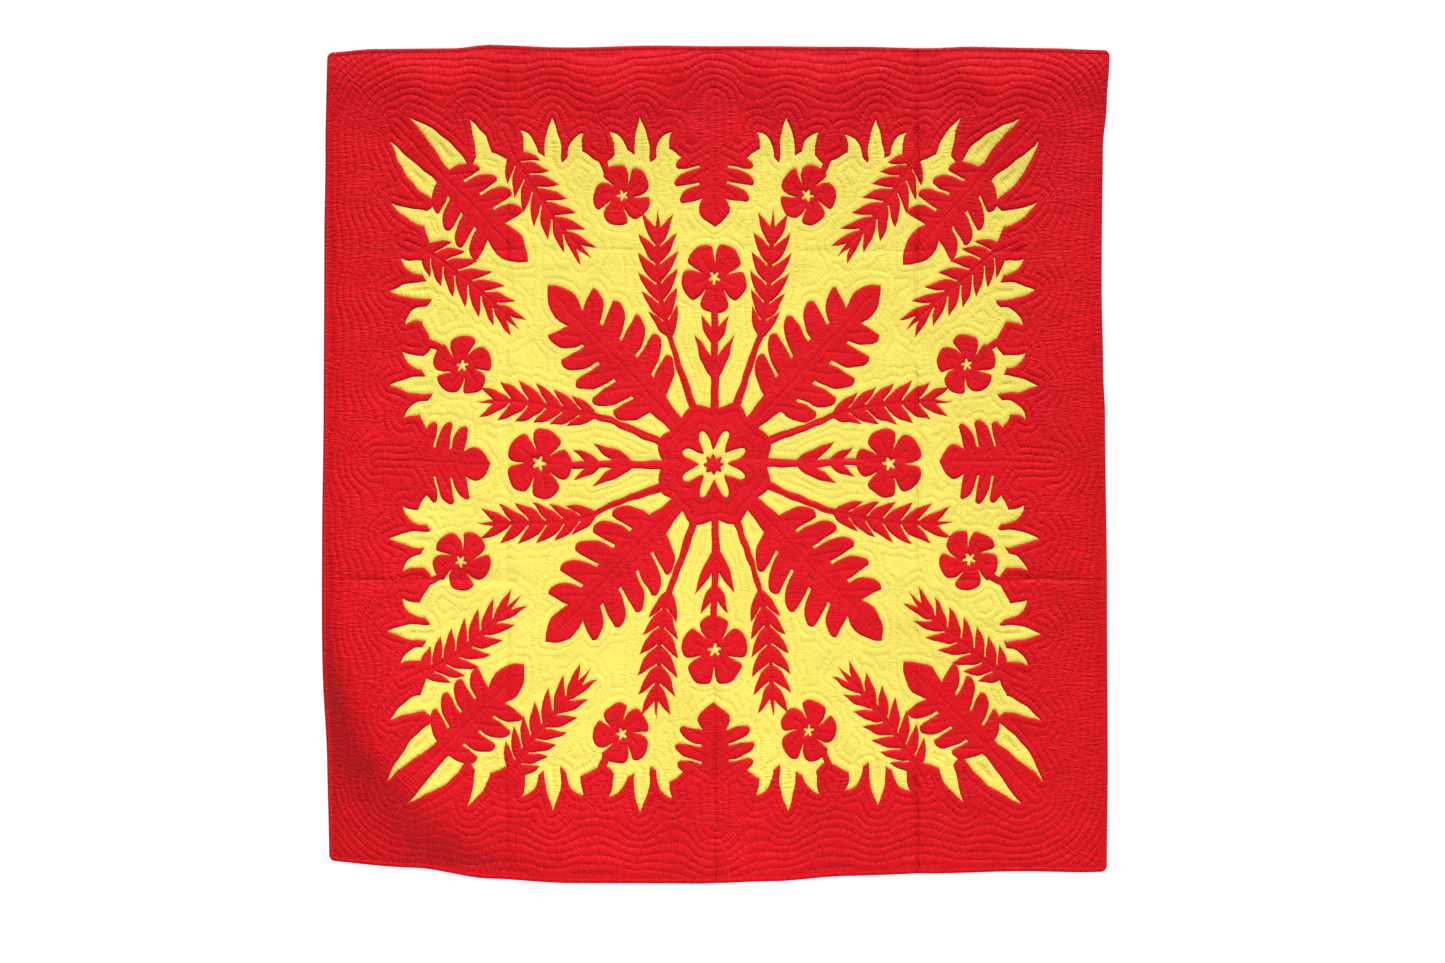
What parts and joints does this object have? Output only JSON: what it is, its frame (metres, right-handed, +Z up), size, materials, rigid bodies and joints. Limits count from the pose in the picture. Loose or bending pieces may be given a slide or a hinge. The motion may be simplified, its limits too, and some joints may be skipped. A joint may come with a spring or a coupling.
{
  "type": "quilted wall hanging",
  "caption": "Large square applique quilt hung flat by its top edge, echo quilted all over, with a rolled binding round its four sides.",
  "frame": {"origin": "middle of the top edge, where the hanging is held, in the middle of its thickness", "axes": "+Z up along the drop, -Y out of the face towards the viewer, +X to the viewer's right"},
  "size_m": [1.9764, 0.0836, 2.1004],
  "materials": {
    "quilted_cotton": "plain weave cotton, red over yellow, hand quilted in echo lines, matt",
    "binding_cotton": "plain weave red cotton, folded over the edge and sewn down, matt"
  },
  "bodies": {
    "root": {"quilt_panel": "quilted_cotton", "binding_top": "binding_cotton", "binding_right": "binding_cotton", "binding_bottom": "binding_cotton", "binding_left": "binding_cotton"}
  },
  "joints": []
}
